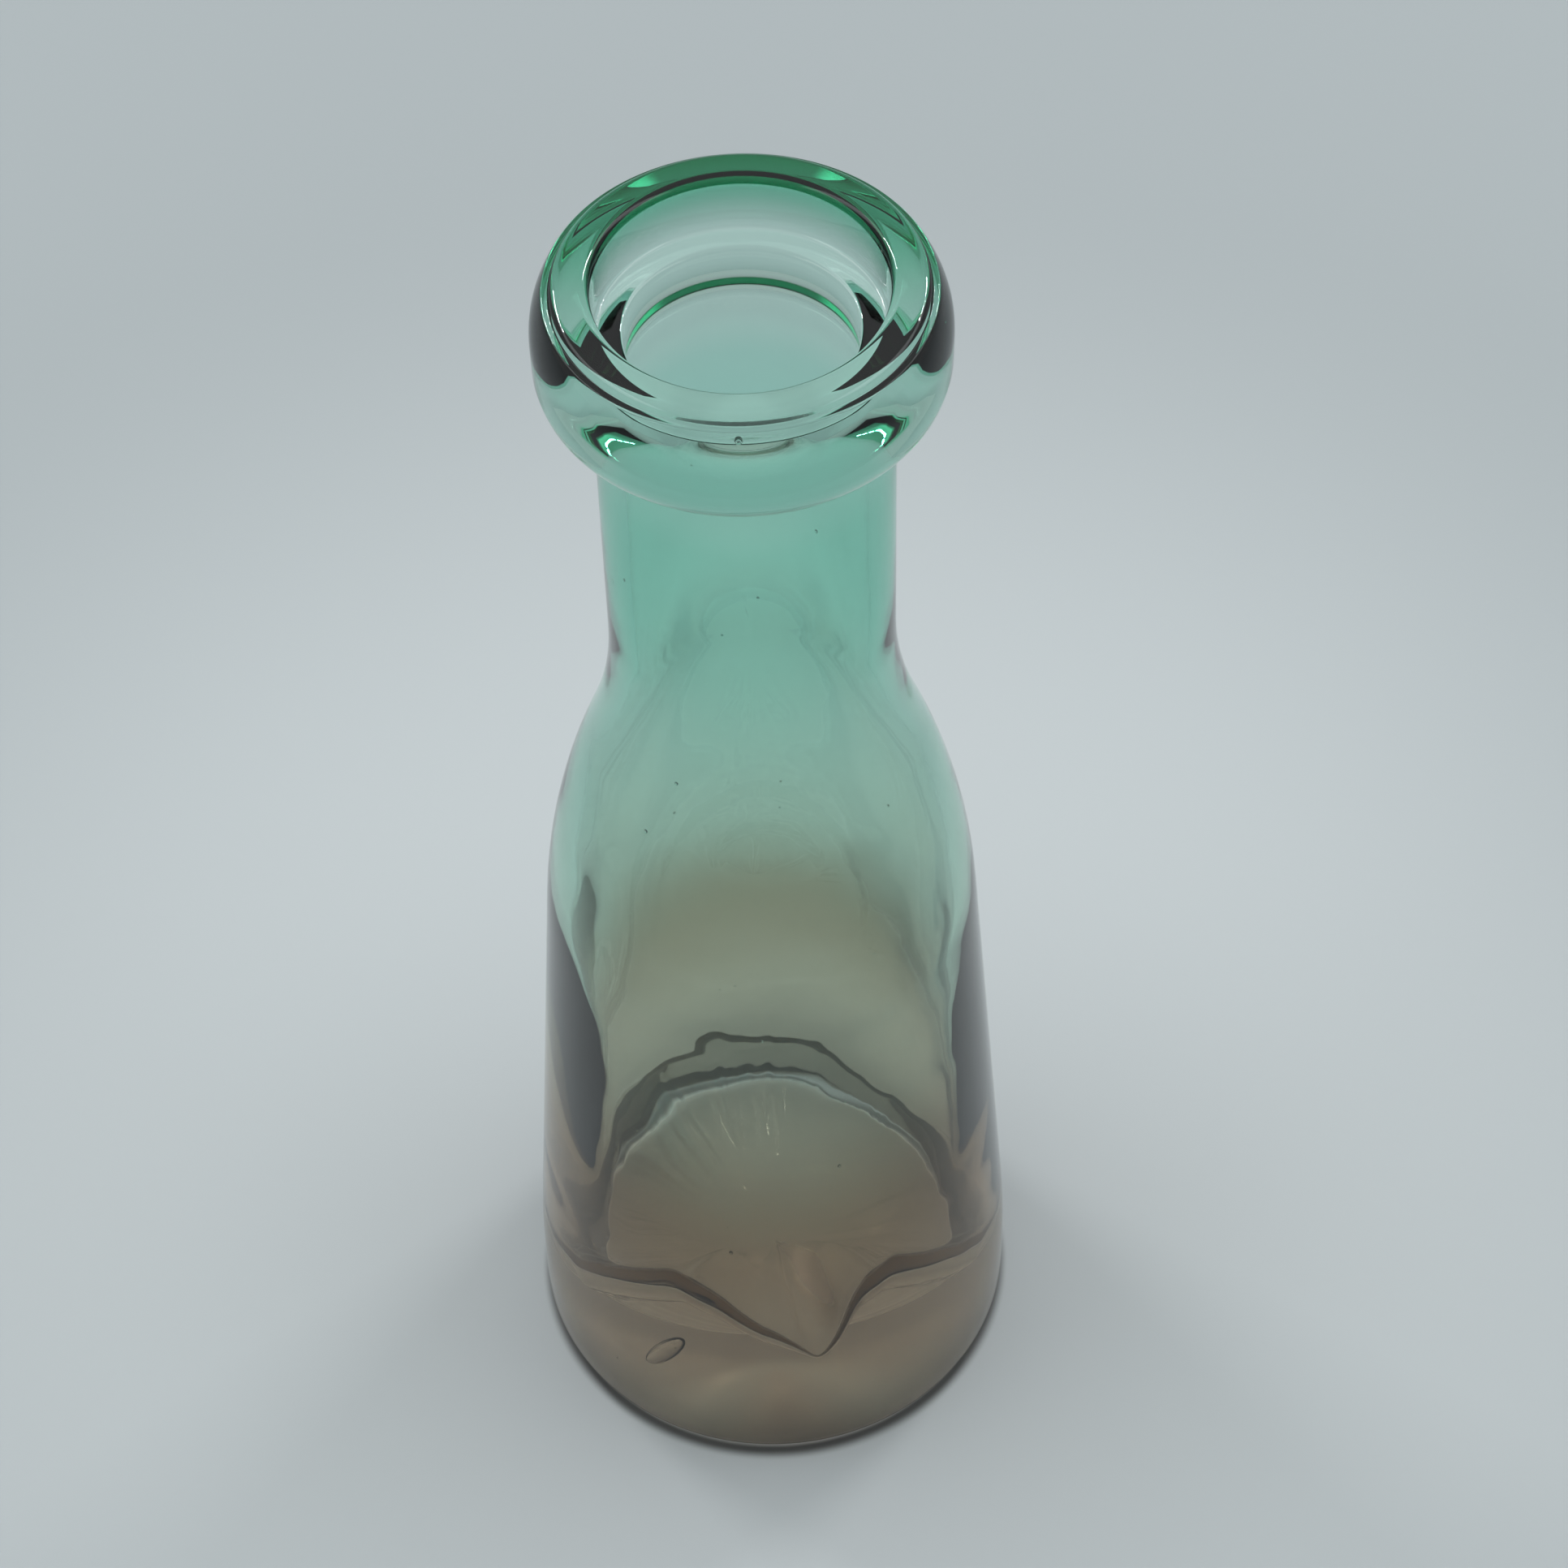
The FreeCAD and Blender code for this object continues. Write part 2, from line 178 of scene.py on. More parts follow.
def ledged_bottom(wall_top, crease, inset, brow, ledge, step):
    """The inside's bottom where a ledge runs round the wall: wall, ledge, step and bowl."""
    heights = stretch((BOWL_FROM,), (crease,), WALL_RINGS, 1.6)[:, 0]
    part = np.clip((BOWL_FROM - heights) / (BOWL_FROM - INSET_FOOT), 0, 1)
    across = wall_top[0] + (wall_top[1] - heights) * math.tan(TAPER) - inset * part * part * (3 - 2 * part)
    edge = (wall_top[0] + (wall_top[1] - crease) * math.tan(TAPER) - inset, crease)
    under = leaning(edge, brow, BROW_LEAN)
    brink = leaning(under, ledge, LEDGE_LEAN)
    foot = leaning(brink, step, STEP_LEAN)
    turn = (foot[0] - (foot[1] - BASE_THICKNESS) * math.tan(BOWL_LEAN), BASE_THICKNESS)
    bowl = curve(foot, turn, (0, BASE_THICKNESS), BOWL_RINGS)
    return np.concatenate([
        np.stack([across, heights], axis=1)[1:],
        stretch(edge, under, BROW_RINGS),
        stretch(under, brink, LEDGE_RINGS),
        stretch(brink, foot, STEP_RINGS),
        bowl,
    ])


def deep_bottom(wall_top):
    """The inside's bottom where the wall thickens into a deep bowl, with as many points."""
    floor_z = BASE_THICKNESS + BOWL_RISE + BOWL_FLOOR
    side_z = floor_z + (BOWL_SIDE - BOWL_FLOOR) * math.sin(BOWL_TURN)
    foot_z = side_z + BOWL_SIDE * math.sin(TAPER)
    foot_x = wall_top[0] + (wall_top[1] - foot_z) * math.tan(TAPER)
    side_x = foot_x - BOWL_SIDE * math.cos(TAPER)
    floor_x = side_x + (BOWL_SIDE - BOWL_FLOOR) * math.cos(BOWL_TURN)
    side = np.array([(foot_x + (foot_z - BOWL_FROM) * math.tan(TAPER), BOWL_FROM),
                     *arc((side_x, side_z), BOWL_SIDE, TAPER, -BOWL_TURN)])
    floor = np.array([*arc((floor_x, floor_z), BOWL_FLOOR, -BOWL_TURN, -QUARTER), (0, BASE_THICKNESS)])
    side_rings = WALL_RINGS + BROW_RINGS + LEDGE_RINGS + STEP_RINGS
    return np.concatenate([spread(side, side_rings)[1:], spread(floor, BOWL_RINGS + 1)[:-1]])


def even(points, step):
    """The same line with points at even spacing."""
    length = np.linalg.norm(np.diff(points, axis=0), axis=1).cumsum()[-1]
    return spread(points, max(2, round(length / step) + 1))


def spread(points, count):
    """The same line with that many points at even spacing."""
    along = np.concatenate([[0], np.cumsum(np.linalg.norm(np.diff(points, axis=0), axis=1))])
    at = np.linspace(0, along[-1], count)
    return np.stack([np.interp(at, along, points[:, k]) for k in (0, 1)], axis=1)


def softened(points):
    """Rounds the outline's sharp corners as fire-polished glass has them."""
    half = round(EDGE_SOFTNESS / FINE_STEP)
    weights = np.hanning(2 * half + 3)[1:-1]
    weights /= weights.sum()
    before = points[half:0:-1] * (-1, 1)
    after = 2 * points[-1] - points[-2:-half - 2:-1]
    padded = np.concatenate([before, points, after])
    return np.stack([np.convolve(padded[:, k], weights, "valid") for k in (0, 1)], axis=1)


def thinned(points, is_inner):
    """Keeps the points that the line's bends and the uneven inside need."""
    kept = [0]
    heading = np.unwrap(np.arctan2(*np.diff(points, axis=0).T[::-1]))
    for k in range(1, len(points) - 1):
        turn = abs(heading[k] - heading[kept[-1]])
        gap = np.linalg.norm(points[k] - points[kept[-1]])
        if turn > MAX_TURN or gap >= (INNER_STEP if is_inner[k] else OUTER_STEP):
            kept.append(k)
    return kept + [len(points) - 1]


# The inside's bottom by direction round the bottle, in degrees
DEEP_AT = (-180, -165, -150, -135, -118, -106, -97, -90, -79, -73, -70, -66, -57, -40, -25, -10, 180)
DEEP_SHARE = (0, 0.05, 0.25, 0.6, 0.95, 0.8, 0.55, 0.4, 0.05, 0.33, 0.6, 0.8, 0.92, 0.55, 0.2, 0, 0)
CREASE_AT = (
    -180, -165, -150, -118, -79, -57, -30, -15, 0, 20, 35,
    54, 65, 75, 92, 105, 117, 129, 141, 150, 165, 180,
)
CREASE_HEIGHT = (
    25, 25, 24, 25, 26, 25, 24, 25, 24, 20, 18,
    16, 15.5, 16.5, 17.5, 18.5, 20.5, 22, 20, 19, 22, 25,
)
CREASE_IN = (0, 0, 0, 0, 0, 0, 0, 0, 0.5, 2.5, 3.5, 3, 2, 1, 0, 0, 0, 0, 0.5, 1, 0.5, 0)
BROW_LENGTHS = (10, 10, 8, 1, 0, 1, 7, 8, 8, 3, 0.7, 0.4, 0.4, 0.4, 0.4, 0.4, 0.4, 0.4, 1, 4, 9, 10)
LEDGE_AT = (-180, -150, -118, -57, -30, 0, 30, 155, 180)
LEDGE_SHARE = (0, 0, 0, 0, 0, 0.1, 1, 1, 0)
INSET_FOOT = 50.0
TABLE_SOFTNESS = 8
DEEP_SOFTNESS = 3
BROW_LEAN = math.radians(40)
LEDGE_LENGTH = 5.0
LEDGE_LEAN = math.radians(13)
STEP_LENGTH = 1.8
STEP_LEAN = math.radians(42)
BOWL_LEAN = math.radians(66)
WALL_RINGS = 60
BROW_RINGS = 3
LEDGE_RINGS = 7
STEP_RINGS = 5
BOWL_RINGS = 28
CREASE_RAGGED = 0.4
LEDGE_RAGGED = 0.9
WAVE_SIZE = 34.0
WAVE_HEIGHT = 0.22
WAVE_TOP = 225.0
WAVE_FROM = 40.0
WAVE_BODY_TOP = 170.0
WAVE_BODY_FROM = 40.0
WAVE_NECK_SHARE = 0.35


def around_smooth(heading, at, value, reach):
    """A table's value by direction, with its corners rounded off."""
    weights = np.hanning(2 * reach + 3)[1:-1]
    read = np.interp(heading, at, value)
    padded = np.concatenate([read[-reach:], read, read[:reach]])
    return np.convolve(padded, weights / weights.sum(), "valid")


# Where the side walls are thicker: direction, half width, bottom, top and thickness
BULGES = (
    (180, 44, 44, 116, 3.2),
    (0, 36, 48, 112, 1.3),
)

# Low rises on the inside of the back wall: direction, height, half width, half height, thickness and edge
RIPPLES = (
    (88, 80, 13, 11, 0.35, 1.6),
    (90, 68, 27, 34, 0.35, 2.0),
)


def bump(away):
    """A smooth rise, from 1 in the middle to 0 at the edge."""
    return (1 - away * away) ** 2


def waviness(points):
    """The uneven inside of blown glass: how far each point moves along its normal, in millimetres."""
    moved = np.empty(len(points))
    turn = np.degrees(np.arctan2(points[:, 1], points[:, 0]))
    for k, (x, y, z) in enumerate(points):
        neck = min(1, max(0, (WAVE_TOP - z) / WAVE_FROM))
        low = min(1, max(0, (WAVE_BODY_TOP - z) / WAVE_BODY_FROM))
        body = WAVE_NECK_SHARE + (1 - WAVE_NECK_SHARE) * low
        moved[k] = WAVE_HEIGHT * neck * body * noise.fractal(Vector((x, y, z)) / WAVE_SIZE, 1.0, 2.0, 3)
        for at, wide, bottom, top, thick in BULGES:
            across = abs((turn[k] - at + 180) % 360 - 180) / wide
            along = abs(2 * z - bottom - top) / (top - bottom)
            if across < 1 and along < 1:
                moved[k] += thick * bump(across) * bump(along)
        for at, middle, wide, tall, thick, edge in RIPPLES:
            across = math.radians((turn[k] - at + 180) % 360 - 180) * BODY_RADIUS / wide
            reach = math.hypot(across, (z - middle) / tall) * min(wide, tall)
            if abs(across) < 2:
                moved[k] += thick / (1 + math.exp(min(50, 4 * (reach - min(wide, tall)) / edge)))
    return moved


# Bubbles in the glass: direction, height, depth, slant and half sizes across, along and through
BLISTERS = (
    (-119.0, 26.0, 1.6, 30, (1.9, 7.2, 0.6)),
    (-92.0, 244.5, 1.0, 0, (0.6, 0.7, 0.5)),
    (-101.0, 60.0, 1.2, 0, (0.35, 0.5, 0.3)),
)
SEEDS = 36
SEED_SIZES = (0.12, 0.34)
SEED_HEIGHTS = (14.0, 200.0)
SEED_DEPTHS = (0.8, 2.6)
SEED_STRETCH = 1.3
SEED_DRAW = 5
BUBBLE_RINGS = 10
BUBBLE_AROUND = 16


def bubbles(outer):
    """The points of each closed pocket of air inside the wall."""
    wall = outer[np.argmax(outer[:, 0] >= BODY_RADIUS - 0.01):]
    chance = random.Random(SEED_DRAW)
    found = list(BLISTERS)
    for _ in range(SEEDS):
        size = chance.uniform(*SEED_SIZES)
        turn = chance.uniform(-180, 180)
        height = chance.uniform(*SEED_HEIGHTS)
        depth = chance.uniform(*SEED_DEPTHS)
        found.append((turn, height, depth, 0, (size, SEED_STRETCH * size, size)))
    for turn, height, depth, slant, halves in found:
        at = math.radians(turn)
        out = np.array((math.cos(at), math.sin(at), 0))
        beside = np.array((-math.sin(at), math.cos(at), 0))
        lean = math.radians(slant)
        along = np.array((0, 0, math.cos(lean))) + beside * math.sin(lean)
        across = np.cross(along, out)
        centre = out * (np.interp(height, wall[:, 1], wall[:, 0]) - depth) + np.array((0, 0, height))
        down = np.linspace(0, math.pi, BUBBLE_RINGS + 1)[1:-1, None, None]
        round_it = np.linspace(0, 2 * math.pi, BUBBLE_AROUND, endpoint=False)[None, :, None]
        ring = (np.sin(down) * np.cos(round_it) * across * halves[0]
                + np.sin(down) * np.sin(round_it) * out * halves[2]
                + np.cos(down) * along * halves[1])
        ends = [along * halves[1], -along * halves[1]]
        yield np.concatenate([ring.reshape(-1, 3), ends]) + centre


def bubble_faces(first):
    """The faces of one bubble whose points start at that number, turned to look inwards."""
    count = (BUBBLE_RINGS - 1) * BUBBLE_AROUND
    for j in range(BUBBLE_AROUND):
        k = (j + 1) % BUBBLE_AROUND
        yield first + count, first + k, first + j
        last = first + count - BUBBLE_AROUND
        yield first + count + 1, last + j, last + k
        for i in range(BUBBLE_RINGS - 2):
            row = first + i * BUBBLE_AROUND
            yield row + j, row + k, row + k + BUBBLE_AROUND, row + j + BUBBLE_AROUND


def build_glass(name, materials):
    outer, inner, wall_top, rim_top = bottle_outline()
    joined = even(np.concatenate([outer, inner]), FINE_STEP)
    top = int(np.argmax(joined[:, 1]))
    bore = top + int(np.argmax(joined[top:, 1] < rim_top - MOUTH_ROUND))
    line = softened(joined)
    is_inner = np.arange(len(line)) >= bore
    kept = thinned(line, is_inner)
    line = line[kept]
    is_inner = is_inner[kept]
    line[0, 0] = 0
    angles = np.linspace(0, 2 * math.pi, AROUND, endpoint=False)
    heading = (np.degrees(angles) + 180) % 360 - 180
    share = around_smooth(heading, DEEP_AT, DEEP_SHARE, DEEP_SOFTNESS)
    crease = around_smooth(heading, CREASE_AT, CREASE_HEIGHT, TABLE_SOFTNESS)
    inset = around_smooth(heading, CREASE_AT, CREASE_IN, TABLE_SOFTNESS)
    brow = around_smooth(heading, CREASE_AT, BROW_LENGTHS, TABLE_SOFTNESS)
    size = around_smooth(heading, LEDGE_AT, LEDGE_SHARE, TABLE_SOFTNESS)
    upper = np.repeat(line[1:, None, :], AROUND, axis=1)
    deep = deep_bottom(wall_top)
    lower = np.empty((len(deep), AROUND, 2))
    for j, at in enumerate(angles):
        around = Vector((math.cos(at), math.sin(at), 0))
        ragged = CREASE_RAGGED * noise.fractal(around * 9, 0.6, 2.0, 3)
        ledge = LEDGE_LENGTH + LEDGE_RAGGED * noise.fractal(around * 14 + Vector((0, 0, 5)), 0.5, 2.0, 3)
        ledged = ledged_bottom(
            wall_top, crease[j] + ragged, inset[j], brow[j], ledge * size[j], STEP_LENGTH * size[j])
        lower[:, j] = (1 - share[j]) * ledged + share[j] * deep
    section = np.concatenate([upper, lower])
    rings = len(section)
    radius = section[..., 0]
    xyz = np.stack([radius * np.cos(angles), radius * np.sin(angles), section[..., 1]], axis=2)
    poles = np.array([[0, 0, line[0, 1]], [0, 0, BASE_THICKNESS]])
    points = np.concatenate([xyz.reshape(-1, 3), poles])
    foot_pole = len(points) - 2
    floor_pole = len(points) - 1
    faces = []
    slots = []
    for j in range(AROUND):
        k = (j + 1) % AROUND
        faces.append((foot_pole, k, j))
        slots.append(2)
        base = (rings - 1) * AROUND
        faces.append((floor_pole, base + j, base + k))
        slots.append(1)
    for i in range(rings - 1):
        for j in range(AROUND):
            k = (j + 1) % AROUND
            faces.append((i * AROUND + j, i * AROUND + k, (i + 1) * AROUND + k, (i + 1) * AROUND + j))
            is_worn = section[i, 0, 1] < WORN_HEIGHT and section[i, 0, 0] < WORN_RADIUS and i < rings // 2
            slots.append(2 if is_worn else int(i + 2 >= len(is_inner) or is_inner[i + 2]))
    inside = sorted({v for face, slot in zip(faces, slots) if slot == 1 for v in face})
    for pocket in bubbles(outer):
        faces.extend(bubble_faces(len(points)))
        points = np.concatenate([points, pocket])
    slots.extend([1] * (len(faces) - len(slots)))
    mesh = bpy.data.meshes.new(name)
    mesh.from_pydata((points * MM).tolist(), [], faces)
    for material in materials:
        mesh.materials.append(material)
    mesh.polygons.foreach_set("material_index", slots)
    mesh.shade_smooth()
    mesh.update()
    # the uneven inside
    normals = np.array([mesh.vertices[v].normal for v in inside])
    offset = waviness(points[inside])
    points[inside] += normals * offset[:, None]
    mesh.vertices.foreach_set("co", (points * MM).ravel())
    mesh.update()
    piece = bpy.data.objects.new(name, mesh)
    bpy.context.scene.collection.objects.link(piece)
    return piece


# Glass materials
IOR = 1.5
# What one pass through the coat lets by, at heights in millimetres
COAT_STOPS = (
    # the lowest stops are darker than the coat alone: its brown plus painted shade at the heel
    (3, (0.22, 0.19, 0.16)),
    (10, (0.30, 0.26, 0.21)),
    (20, (0.51, 0.44, 0.36)),
    (32, (0.65, 0.56, 0.45)),
    (46, (0.58, 0.48, 0.37)),
    (60, (0.48, 0.39, 0.28)),
    (74, (0.47, 0.44, 0.34)),
    (92, (0.67, 0.78, 0.68)),
    (130, (0.72, 0.90, 0.83)),
    (165, (0.68, 0.90, 0.82)),
    (190, (0.46, 0.83, 0.72)),
    (214, (0.53, 0.86, 0.76)),
    (222, (0.72, 0.92, 0.85)),
    (249, (0.72, 0.92, 0.85)),
)
# Painted shade: a darker tint over the back of the lip, between these heights and these front-to-back
# places in millimetres
LIP_PAINTED_SHADE = (0.18, 0.57, 0.40)
LIP_SHADE_HEIGHTS = (233, 243)
LIP_SHADE_DEPTHS = (-14, 10)
COAT_TOP = 250
COAT_FOOT = (0.2, 3.5)
WORN_ROUGHNESS = (0.40, 0.60)
WORN_RADIUS = 38.5
WORN_HEIGHT = 4.0
WORN_SCALES = (900, 700)
WORN_COLOURS = ((0.90, 0.90, 0.87), (1, 1, 0.98))
CLEAR_SCALE = 120
CLEAR_COLOURS = ((0.965, 0.985, 0.975), (1, 1, 1))
TOTAL_REFLECTION = 0.999


def glass_material(name):
    material = bpy.data.materials.new(name)
    material.use_nodes = True
    shader = material.node_tree.nodes["Principled BSDF"]
    shader.inputs["Transmission Weight"].default_value = 1
    shader.inputs["IOR"].default_value = IOR
    shader.inputs["Roughness"].default_value = 0
    return material, shader


def tinted_glass():
    material, shader = glass_material("tinted_glass")
    tree = material.node_tree
    place = tree.nodes.new("ShaderNodeTexCoord")
    split = tree.nodes.new("ShaderNodeSeparateXYZ")
    tree.links.new(place.outputs["Object"], split.inputs[0])
    height = tree.nodes.new("ShaderNodeMapRange")
    height.inputs["From Max"].default_value = COAT_TOP * MM
    tree.links.new(split.outputs["Z"], height.inputs["Value"])
    ramp = tree.nodes.new("ShaderNodeValToRGB")
    stops = ramp.color_ramp.elements
    for k, (z, passed) in enumerate(COAT_STOPS):
        stop = stops[k] if k < 2 else stops.new(z / COAT_TOP)
        stop.position = z / COAT_TOP
        stop.color = (*passed, 1)
    ramp.color_ramp.interpolation = "B_SPLINE"
    tree.links.new(height.outputs["Result"], ramp.inputs["Fac"])
    # painted shade: the back of the lip is tinted darker than its coat
    shares = []
    for axis, limits in (("Z", LIP_SHADE_HEIGHTS), ("Y", LIP_SHADE_DEPTHS)):
        share = tree.nodes.new("ShaderNodeMapRange")
        share.interpolation_type = "SMOOTHSTEP"
        share.inputs["From Min"].default_value = limits[0] * MM
        share.inputs["From Max"].default_value = limits[1] * MM
        tree.links.new(split.outputs[axis], share.inputs["Value"])
        shares.append(share.outputs["Result"])
    shade_at_back = tree.nodes.new("ShaderNodeMath")
    shade_at_back.operation = "MULTIPLY"
    tree.links.new(shares[0], shade_at_back.inputs[0])
    tree.links.new(shares[1], shade_at_back.inputs[1])
    shaded_lip = tree.nodes.new("ShaderNodeMix")
    shaded_lip.data_type = "RGBA"
    shaded_lip.inputs[7].default_value = (*LIP_PAINTED_SHADE, 1)
    tree.links.new(shade_at_back.outputs[0], shaded_lip.inputs["Factor"])
    tree.links.new(ramp.outputs["Color"], shaded_lip.inputs[6])
    twice = tree.nodes.new("ShaderNodeGamma")
    twice.inputs["Gamma"].default_value = 2
    tree.links.new(shaded_lip.outputs[2], twice.inputs["Color"])
    coat = tree.nodes.new("ShaderNodeMapRange")
    coat.interpolation_type = "SMOOTHSTEP"
    coat.inputs["From Min"].default_value = COAT_FOOT[0] * MM
    coat.inputs["From Max"].default_value = COAT_FOOT[1] * MM
    tree.links.new(split.outputs["Z"], coat.inputs["Value"])
    bare = tree.nodes.new("ShaderNodeMix")
    bare.data_type = "RGBA"
    bare.inputs[6].default_value = (1, 1, 1, 1)
    tree.links.new(coat.outputs["Result"], bare.inputs["Factor"])
    tree.links.new(twice.outputs[0], bare.inputs[7])
    tree.links.new(bare.outputs[2], shader.inputs["Base Color"])
    # seen from inside the glass, the coat tints once what leaves and twice what is mirrored back
    once = tree.nodes.new("ShaderNodeGamma")
    once.inputs["Gamma"].default_value = 0.5
    tree.links.new(bare.outputs[2], once.inputs["Color"])
    bend = tree.nodes.new("ShaderNodeFresnel")
    bend.inputs["IOR"].default_value = IOR
    mirrored = tree.nodes.new("ShaderNodeMath")
    mirrored.operation = "GREATER_THAN"
    mirrored.inputs[1].default_value = TOTAL_REFLECTION
    tree.links.new(bend.outputs[0], mirrored.inputs[0])
    inside_colour = tree.nodes.new("ShaderNodeMix")
    inside_colour.data_type = "RGBA"
    tree.links.new(mirrored.outputs[0], inside_colour.inputs["Factor"])
    tree.links.new(once.outputs[0], inside_colour.inputs[6])
    tree.links.new(bare.outputs[2], inside_colour.inputs[7])
    inside = tree.nodes.new("ShaderNodeBsdfGlass")
    inside.inputs["Roughness"].default_value = 0
    inside.inputs["IOR"].default_value = IOR
    tree.links.new(inside_colour.outputs[2], inside.inputs["Color"])
    side = tree.nodes.new("ShaderNodeNewGeometry")
    both = tree.nodes.new("ShaderNodeMixShader")
    tree.links.new(side.outputs["Backfacing"], both.inputs[0])
    tree.links.new(shader.outputs[0], both.inputs[1])
    tree.links.new(inside.outputs[0], both.inputs[2])
    tree.links.new(both.outputs[0], tree.nodes["Material Output"].inputs["Surface"])
    return material


def mottled(tree, socket, scale, low, high):
    """Feeds a socket with cloudy noise between two values or two colours."""
    place = tree.nodes.new("ShaderNodeTexCoord")
    cloud = tree.nodes.new("ShaderNodeTexNoise")
    cloud.inputs["Scale"].default_value = scale
    cloud.inputs["Detail"].default_value = 4
    tree.links.new(place.outputs["Object"], cloud.inputs["Vector"])
    if isinstance(low, tuple):
        mix = tree.nodes.new("ShaderNodeMix")
        mix.data_type = "RGBA"
        mix.inputs[6].default_value = (*low, 1)
        mix.inputs[7].default_value = (*high, 1)
        tree.links.new(cloud.outputs[0], mix.inputs["Factor"])
        tree.links.new(mix.outputs[2], socket)
    else:
        part = tree.nodes.new("ShaderNodeMapRange")
        part.inputs["To Min"].default_value = low
        part.inputs["To Max"].default_value = high
        tree.links.new(cloud.outputs[0], part.inputs["Value"])
        tree.links.new(part.outputs["Result"], socket)


def worn_glass():
    """The scuffed underside."""
    material, shader = glass_material("worn_glass")
    tree = material.node_tree
    mottled(tree, shader.inputs["Base Color"], WORN_SCALES[0], *WORN_COLOURS)
    mottled(tree, shader.inputs["Roughness"], WORN_SCALES[1], *WORN_ROUGHNESS)
    return material


def clear_glass():
    material, shader = glass_material("clear_glass")
    mottled(material.node_tree, shader.inputs["Base Color"], CLEAR_SCALE, *CLEAR_COLOURS)
    return material


bottle = build_glass("bottle_glass", [tinted_glass(), clear_glass(), worn_glass()])
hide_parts("glass_bottle")
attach(bottle, "root")

# Floor: painted light under the glass (a paler disc that faintly glows), a painted shadow dark at its foot
# and painted shade dimming it away from the bottle
FLOOR_SIZE = 3.0
FLOOR_GAP = 0.0003
FLOOR_COLOUR = (0.50, 0.53, 0.54, 1)
# Painted light: the floor is paler under the glass
FLOOR_UNDER_PAINTED_LIGHT = (0.92, 0.93, 0.92, 1)
# Painted shadow: a dark ring on the floor at the bottle's foot
FLOOR_PAINTED_SHADOW = (0.10, 0.10, 0.10, 1)
# Painted shade: the floor darker further from the bottle
FLOOR_FAR_PAINTED_SHADE = (0.35, 0.38, 0.39, 1)
PAINTED_LIGHT_RADII = (0.0385, 0.0405)
# Painted light: the floor glows faintly under the glass, where there is no lamp
PAINTED_GLOW_STRENGTH = 0.10
PAINTED_GLOW_COLOUR = (1, 0.97, 0.92, 1)
FLOOR_ROUGHNESS = 0.9
# where the painted shadow at the foot fades out
PAINTED_SHADOW_RADII = (0.0408, 0.0430)
# where the painted shade away from the bottle comes in
PAINTED_SHADE_RADII = (0.10, 0.30)


def build_floor():
    bpy.ops.mesh.primitive_plane_add(size=FLOOR_SIZE, location=(0, 0, -FLOOR_GAP))
    floor = bpy.context.object
    floor.name = "floor"
    material = bpy.data.materials.new("floor")
    material.use_nodes = True
    tree = material.node_tree
    shader = tree.nodes["Principled BSDF"]
    shader.inputs["Roughness"].default_value = FLOOR_ROUGHNESS
    place = tree.nodes.new("ShaderNodeTexCoord")
    away = tree.nodes.new("ShaderNodeVectorMath")
    away.operation = "LENGTH"
    tree.links.new(place.outputs["Object"], away.inputs[0])
    colour = None
    # painted light under the glass, a painted shadow at the foot, then painted shade further off
    bands = (
        (PAINTED_LIGHT_RADII, FLOOR_UNDER_PAINTED_LIGHT, FLOOR_PAINTED_SHADOW),
        (PAINTED_SHADOW_RADII, None, FLOOR_COLOUR),
        (PAINTED_SHADE_RADII, None, FLOOR_FAR_PAINTED_SHADE),
    )
    for limits, near, far in bands:
        part = tree.nodes.new("ShaderNodeMapRange")
        part.interpolation_type = "SMOOTHSTEP"
        part.inputs["From Min"].default_value = limits[0]
        part.inputs["From Max"].default_value = limits[1]
        tree.links.new(away.outputs["Value"], part.inputs["Value"])
        mix = tree.nodes.new("ShaderNodeMix")
        mix.data_type = "RGBA"
        tree.links.new(part.outputs["Result"], mix.inputs["Factor"])
        mix.inputs[7].default_value = far
        if near:
            mix.inputs[6].default_value = near
        else:
            tree.links.new(colour, mix.inputs[6])
        colour = mix.outputs[2]
    tree.links.new(colour, shader.inputs["Base Color"])
    # painted light: a faint glow on the floor under the glass
    painted_glow = tree.nodes.new("ShaderNodeMapRange")
    painted_glow.interpolation_type = "SMOOTHSTEP"
    painted_glow.inputs["From Min"].default_value = PAINTED_LIGHT_RADII[1]
    painted_glow.inputs["From Max"].default_value = PAINTED_LIGHT_RADII[0]
    painted_glow.inputs["To Max"].default_value = PAINTED_GLOW_STRENGTH
    tree.links.new(away.outputs["Value"], painted_glow.inputs["Value"])
    shader.inputs["Emission Color"].default_value = PAINTED_GLOW_COLOUR
    tree.links.new(painted_glow.outputs["Result"], shader.inputs["Emission Strength"])
    floor.data.materials.append(material)


build_floor()

# Surroundings: dim walls, a brighter ceiling, a darker front and a bright panel on each side
WALL_LIGHT = (0.42, 0.44, 0.45, 1)
CEILING_LIGHT = (0.75, 0.79, 0.80, 1)
CEILING_RISE = (0.35, 0.95)
FRONT_SHARE = 0.9
FRONT_REACH = (-0.75, -0.25)
PANEL_LIGHT = 2.3
PANEL_SIDE = (0.58, 0.70)
PANEL_RISE = (0.35, 0.50)


